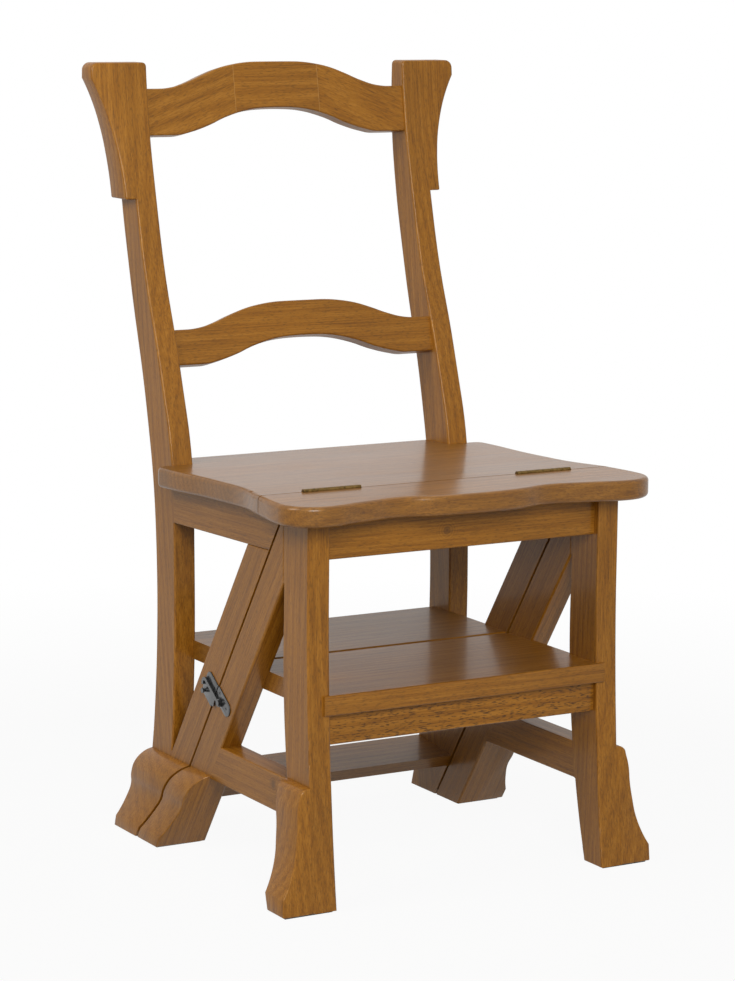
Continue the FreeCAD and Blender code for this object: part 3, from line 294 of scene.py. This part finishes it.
# Which way the grain runs in each piece, how light the piece is, and where the heart of its log lies
slant = (0, 288.9, -427)  # along the slanted cut
boards = {
    "back_post": {"grain": (0, 0.14, 1), "tone": 1.0, "pith": (0.04, -0.09)},
    "ear_block": {"grain": (0, 0.10, 1), "tone": 1.02, "pith": (0.09, -0.05)},
    "front_leg": {"grain": (0, -0.03, 1), "tone": 0.98, "pith": (-0.05, 0.07)},
    "front_brace": {"grain": slant, "tone": 0.95, "pith": (0.06, 0.05)},
    "rear_brace": {"grain": slant, "tone": 0.94, "pith": (-0.08, 0.04)},
    "side_apron": {"grain": (0, 1, -0.03), "tone": 0.91, "pith": (0.05, -0.06)},
    "low_rail": {"grain": (0, 1, 0), "tone": 0.94, "pith": (-0.03, 0.08)},
    "front_foot": {"grain": (0, -0.03, 1), "tone": 1.04, "pith": (0.02, 0.06)},
    "brace_foot": {"grain": slant, "tone": 0.95, "pith": (0.05, -0.05)},
    "rear_foot": {"grain": (0, 0.14, 1), "tone": 0.97, "pith": (-0.06, -0.03)},
    "crest_rail_left_end": {"grain": (1, 0, 0.42), "tone": 0.93, "pith": (0.02, -0.75),
                            "ringShare": 0.2},
    "crest_rail_middle": {"grain": (1, 0, 0.02), "tone": 1.0, "pith": (-0.03, -0.80),
                          "ringShare": 0.15, "glueAt": 57 * mm},
    "crest_rail_right_end": {"grain": (1, 0, -0.40), "tone": 0.98, "pith": (0.02, -0.90),
                             "ringShare": 0.14},
    "lower_rail": {"grain": (1, 0, 0), "tone": 0.97, "pith": (-0.02, -0.55), "along": 0.2},
    "front_apron": {"grain": (1, 0, 0), "tone": 0.95, "pith": (0.13, -0.36),
                    "knots": [((-0.021, -0.2095, 0.404), 7 * mm)]},
    "rear_apron": {"grain": (1, 0, 0), "tone": 0.96, "pith": (-0.07, -0.43)},
    "tread_rail": {"grain": (1, 0, 0), "tone": 1.02, "pith": (0.17, -0.13), "poreDepth": 0.95,
                   "ringShare": 0.16},
    "front_seat_board": {"tone": 0.82, "staves": True, "pith": (0.16, -0.52), "gloss": 2.1},
    "rear_seat_board": {"tone": 0.74, "staves": True, "pith": (0.05, -0.50), "gloss": 2.2},
    "front_tread": {"tone": 1.0, "staves": True, "pith": (0.2, -0.17), "gloss": 1.3},
    "rear_tread": {"tone": 0.85, "staves": True, "pith": (-0.1, -0.17), "gloss": 1.3},
    "low_board": {"tone": 0.92, "staves": True, "pith": (-0.08, -0.02), "gloss": 1.2},
}
oneKnot = {"low_rail_left": [((-0.2, -0.1425, 0.124), 8 * mm)]}
nextStretch = 0.37  # no two pieces are cut from the same stretch of the log
metalOf = {"hinge": antiqueBrass, "latch": blackIron}
smallParts = {"glides": padPlastic, "dowels": dowelBeech, "seat_screws": zincSteel}


def materialFor(node):
    for start, metal in metalOf.items():
        if node.startswith(start):
            return metal
    for end, solid in smallParts.items():
        if node.endswith(end):
            return solid
    stem = node
    while stem not in boards:
        stem = stem.rsplit("_", 1)[0]
    look = {"along": nextStretch * (sorted(nodes).index(node) + 1), "knots": oneKnot.get(node, ()),
            **boards[stem]}
    return stainedHardwood("stained hardwood, " + node.replace("_", " "), **look)


for name, node in nodes.items():
    node.data.materials.clear()
    node.data.materials.append(materialFor(name))
print("finishes given to", len(nodes), "nodes")

# Pieces whose sharp edges are eased, and by how much
eased = {"front_foot": 1.3 * mm, "brace_foot": 1.3 * mm, "rear_foot": 1.3 * mm, "ear_block": 2.0 * mm,
         "latch_hook_arm": 1.1 * mm, "latch_hook_plate": 0.5 * mm, "latch_catch_plate": 0.5 * mm}
easing = {"steps": 3, "flat": math.radians(1), "sharpest": math.radians(35),
          "shadeFrom": math.radians(32), "jointPlane": 0.2, "jointReach": 0.05 * mm}
weld = 0.002 * mm  # corners nearer than this are one


def weldedCopy(node):
    mesh = bmesh.new()
    mesh.from_mesh(nodes[node].data)
    bmesh.ops.remove_doubles(mesh, verts=mesh.verts, dist=weld)
    return mesh


# A copy of the piece with every edge eased but those in its joint with the frame's outer face
def easedPiece(node, ease):
    mesh = weldedCopy(node)
    bmesh.ops.dissolve_limit(mesh, angle_limit=easing["flat"], verts=mesh.verts, edges=mesh.edges)
    picked = []
    for edge in mesh.edges:
        sharp = edge.calc_face_angle(0) > easing["sharpest"]
        glued = all(abs(abs(vert.co.x) - easing["jointPlane"]) < easing["jointReach"]
                    for vert in edge.verts)
        if sharp and not glued:
            picked.append(edge)
    bmesh.ops.bevel(mesh, geom=picked, offset=ease, segments=easing["steps"], profile=0.5,
                    affect="EDGES", clamp_overlap=True)
    bmesh.ops.recalc_face_normals(mesh, faces=mesh.faces)
    data = bpy.data.meshes.new(node + "_eased")
    mesh.to_mesh(data)
    mesh.free()
    data.polygons.foreach_set("use_smooth", [True] * len(data.polygons))
    data.set_sharp_from_angle(angle=easing["shadeFrom"])
    data.materials.append(nodes[node].data.materials[0])
    piece = newPiece(node + "_eased", data)
    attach(piece, nodes[node]["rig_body"])
    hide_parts(node)


for stem, ease in eased.items():
    for node in [name for name in nodes if name in (stem, stem + "_left", stem + "_right")]:
        easedPiece(node, ease)
print("edges of", len(eased), "kinds of piece eased")

# Cross-recessed screw heads: the way they face, their finish and their radius
screws = {
    "hinge_front_screws": {"facing": (0, 1, 0), "finish": antiqueBrass, "slot": "hinge_brass",
                           "radius": 3.1 * mm},
    "hinge_rear_screws": {"facing": (0, -1, 0), "finish": antiqueBrass, "slot": "hinge_brass",
                          "radius": 3.1 * mm},
    "latch_hook_plate_screws": {"facing": (-1, 0, 0), "finish": blackIron, "slot": "latch_iron",
                                "radius": 3.1 * mm},
    "latch_catch_plate_screws": {"facing": (-1, 0, 0), "finish": blackIron, "slot": "latch_iron",
                                 "radius": 3.1 * mm},
    "front_seat_screws": {"facing": (0, 0, -1), "finish": zincSteel, "slot": "screw_steel",
                          "radius": 4.2 * mm},
    "rear_seat_screws": {"facing": (0, 0, -1), "finish": zincSteel, "slot": "screw_steel",
                         "radius": 4.2 * mm},
}
# The usual radius, the corners round it and the seed; the rest are shares of a head's radius
head = {"radius": 3.1 * mm, "corners": 28, "shank": 0.62, "depth": 0.5,
        "recessLength": 1.15, "recessWidth": 0.24, "seed": 7}
faceReach = 0.01 * mm  # corners this near the outermost are on the outer face


# Countersunk heads with a cross recess, one on each point, each turned by chance about its axis
def screwTree(finish):
    tree = bpy.data.node_groups.new("screw heads", "GeometryNodeTree")
    for name, kind, value in (("Geometry", "NodeSocketGeometry", None),
                              ("Head Radius", "NodeSocketFloat", head["radius"]),
                              ("Recess Width", "NodeSocketFloat", head["recessWidth"]),
                              ("Seed", "NodeSocketInt", head["seed"])):
        socket = tree.interface.new_socket(name, in_out="INPUT", socket_type=kind)
        if value is not None:
            socket.default_value = value
    tree.interface.new_socket("Geometry", in_out="OUTPUT", socket_type="NodeSocketGeometry")
    given = addNode(tree, "NodeGroupInput").outputs
    sized = {}
    for part, share in (("shank", head["shank"]), ("depth", head["depth"]), ("down", -head["depth"]),
                        ("long", head["recessLength"]), ("thin", given["Recess Width"])):
        sized[part] = addNode(tree, "ShaderNodeMath", {0: given["Head Radius"], 1: share},
                              operation="MULTIPLY").outputs[0]
    cone = addNode(tree, "GeometryNodeMeshCone",
                   {"Vertices": head["corners"], "Radius Top": given["Head Radius"],
                    "Radius Bottom": sized["shank"], "Depth": sized["depth"]}).outputs["Mesh"]
    lowered = addNode(tree, "ShaderNodeCombineXYZ", {"Z": sized["down"]}).outputs[0]
    cut = addNode(tree, "GeometryNodeTransform", {"Geometry": cone, "Translation": lowered}).outputs[0]
    for x, y in (("long", "thin"), ("thin", "long")):  # the two arms of the cross
        size = addNode(tree, "ShaderNodeCombineXYZ",
                       {"X": sized[x], "Y": sized[y], "Z": sized["depth"]}).outputs[0]
        arm = addNode(tree, "GeometryNodeMeshCube", {"Size": size}).outputs["Mesh"]
        cut = addNode(tree, "GeometryNodeMeshBoolean", {"Mesh 1": cut, "Mesh 2": arm},
                      operation="DIFFERENCE", solver="EXACT").outputs[0]
    facing = addNode(tree, "GeometryNodeInputNamedAttribute", {"Name": "facing"},
                     data_type="FLOAT_VECTOR").outputs["Attribute"]
    upright = addNode(tree, "FunctionNodeAlignRotationToVector", {"Vector": facing}, axis="Z").outputs[0]
    spin = addNode(tree, "FunctionNodeRandomValue", {"Min": 0.0, "Max": math.pi, "Seed": given["Seed"]},
                   data_type="FLOAT")
    spin = [socket for socket in spin.outputs if socket.enabled][0]
    spin = addNode(tree, "FunctionNodeAxisAngleToRotation",
                   {"Axis": (0, 0, 1), "Angle": spin}).outputs[0]
    turned = addNode(tree, "FunctionNodeRotateRotation", {"Rotation": upright, "Rotate By": spin},
                     rotation_space="LOCAL").outputs[0]
    placed = addNode(tree, "GeometryNodeInstanceOnPoints",
                     {"Points": given["Geometry"], "Instance": cut, "Rotation": turned}).outputs[0]
    real = addNode(tree, "GeometryNodeRealizeInstances", {"Geometry": placed}).outputs[0]
    done = addNode(tree, "GeometryNodeSetMaterial", {"Geometry": real, "Material": finish}).outputs[0]
    addNode(tree, "NodeGroupOutput", {"Geometry": done})
    return tree


# The middle of each screw's outer face; one node holds several separate screws
def headCentres(node, facing):
    mesh = weldedCopy(node)
    left = set(mesh.verts)
    centres = []
    while left:
        screw, rim = set(), [left.pop()]
        while rim:
            vert = rim.pop()
            screw.add(vert)
            for other in (edge.other_vert(vert) for edge in vert.link_edges):
                if other in left:
                    left.discard(other)
                    rim.append(other)
        far = max(vert.co.dot(facing) for vert in screw)
        outer = [vert.co for vert in screw if vert.co.dot(facing) > far - faceReach]
        low = Vector([min(corner[i] for corner in outer) for i in range(3)])
        high = Vector([max(corner[i] for corner in outer) for i in range(3)])
        centres.append((low + high) / 2)
    mesh.free()
    return centres


def screwHeads(node, look):
    facing = Vector(look["facing"])
    centres = headCentres(node, facing)
    data = bpy.data.meshes.new(node + "_points")
    data.from_pydata(centres, [], [])
    attribute = data.attributes.new("facing", "FLOAT_VECTOR", "POINT")
    for i in range(len(centres)):
        attribute.data[i].vector = facing
    points = newPiece(node + "_points", data)
    tree = screwTree(look["finish"])
    modifier = points.modifiers.new("screw heads", "NODES")
    modifier.node_group = tree
    sockets = {s.name: s.identifier for s in tree.interface.items_tree if s.in_out == "INPUT"}
    modifier[sockets["Head Radius"]] = look["radius"]
    view = bpy.context.evaluated_depsgraph_get()
    made = bpy.data.meshes.new_from_object(points.evaluated_get(view), depsgraph=view)
    bpy.data.objects.remove(points)
    piece = newPiece(node + "_heads", made)
    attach(piece, nodes[node]["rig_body"])
    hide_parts(node)


for node, look in screws.items():
    screwHeads(node, look)
print("screw heads set")

# A pale floor under a white backdrop, lit by soft boxes
studio = {"floorColour": "#B5B3AF", "floorGlow": 0.94, "fadeFrom": 0.7, "fadeTo": 1.6,
          "worldLevel": "#5A5A5A", "floorSize": 9.0, "middle": (0, 0, 0.45)}


# 1 for the rays that should meet white: seen by the camera, in a gloss or through glass
def seenRays(tree):
    path = addNode(tree, "ShaderNodeLightPath").outputs
    seen = addNode(tree, "ShaderNodeMath", {0: path["Is Camera Ray"], 1: path["Is Glossy Ray"]},
                   operation="MAXIMUM").outputs[0]
    return addNode(tree, "ShaderNodeMath", {0: seen, 1: path["Is Transmission Ray"]},
                   operation="MAXIMUM").outputs[0]


floorMesh = bmesh.new()
bmesh.ops.create_grid(floorMesh, x_segments=1, y_segments=1, size=studio["floorSize"])
floorData = bpy.data.meshes.new("floor")
floorMesh.to_mesh(floorData)
floorMesh.free()
floor = newPiece("floor", floorData)

floorMaterial, tree = newMaterial("matt white floor")
seen = seenRays(tree)
place = addNode(tree, "ShaderNodeTexCoord").outputs["Object"]
away = addNode(tree, "ShaderNodeVectorMath", {0: place}, operation="LENGTH").outputs["Value"]
pale = addNode(tree, "ShaderNodeMapRange",  # the floor's own shade and shadow fade out into the backdrop
               {"Value": away, "From Min": studio["fadeFrom"], "From Max": studio["fadeTo"],
                "To Min": studio["floorGlow"], "To Max": 1.0}).outputs[0]
glow = addNode(tree, "ShaderNodeMath", {0: seen, 1: pale}, operation="MULTIPLY").outputs[0]
matt = addNode(tree, "ShaderNodeBsdfDiffuse", {"Color": toLinear(studio["floorColour"])}).outputs[0]
white = addNode(tree, "ShaderNodeEmission", {"Color": (1, 1, 1, 1), "Strength": 1.0}).outputs[0]
mixed = addNode(tree, "ShaderNodeMixShader", {0: glow, 1: matt, 2: white})
addNode(tree, "ShaderNodeOutputMaterial", {"Surface": mixed.outputs[0]})
floorData.materials.append(floorMaterial)

world = bpy.data.worlds.new("studio")
world.use_nodes = True
tree = world.node_tree
tree.nodes.clear()
shade = addNode(tree, "ShaderNodeMix",
                {0: seenRays(tree), 6: toLinear(studio["worldLevel"]), 7: (1, 1, 1, 1)},
                data_type="RGBA").outputs[2]
back = addNode(tree, "ShaderNodeBackground", {"Color": shade, "Strength": 1.0})
addNode(tree, "ShaderNodeOutputWorld", {"Surface": back.outputs[0]})
bpy.context.scene.world = world

lamps = {
    "front softbox": {"at": (-1.1, -3.1, 2.0), "size": 1.5, "power": 97},
    "left softbox": {"at": (-2.6, -0.2, 2.5), "size": 1.4, "power": 46},
    "overhead softbox": {"at": (0.2, 0.3, 3.0), "size": 2.0, "power": 9},
}
for name, look in lamps.items():
    light = bpy.data.lights.new(name, "AREA")
    light.shape = "SQUARE"
    light.size = look["size"]
    light.energy = look["power"]
    lamp = newPiece(name, light)
    lamp.location = look["at"]
    aim = Vector(studio["middle"]) - Vector(look["at"])
    lamp.rotation_euler = aim.to_track_quat("-Z", "Y").to_euler()

# Where the camera stands, and its own axes: right, up and back towards the viewer
shot = {"at": (-1.78610, -3.09054, 1.01238), "lens": 114.87, "sensor": 36,
        "right": (0.8667300738700355, -0.4986871218476299, 0.009493869209638836),
        "up": (0.07418889858076384, 0.14771789608227462, 0.9862430889514002),
        "back": (-0.4932291418566179, -0.8541022056407263, 0.16502858128960298)}
camera = newPiece("camera", bpy.data.cameras.new("camera"))
camera.data.sensor_width = shot["sensor"]
camera.data.lens = shot["lens"]
turn = Matrix([shot["right"], shot["up"], shot["back"]]).transposed().to_4x4()
camera.matrix_world = Matrix.Translation(shot["at"]) @ turn
bpy.context.scene.camera = camera
bpy.context.scene.view_settings.view_transform = "Standard"
print("studio set")
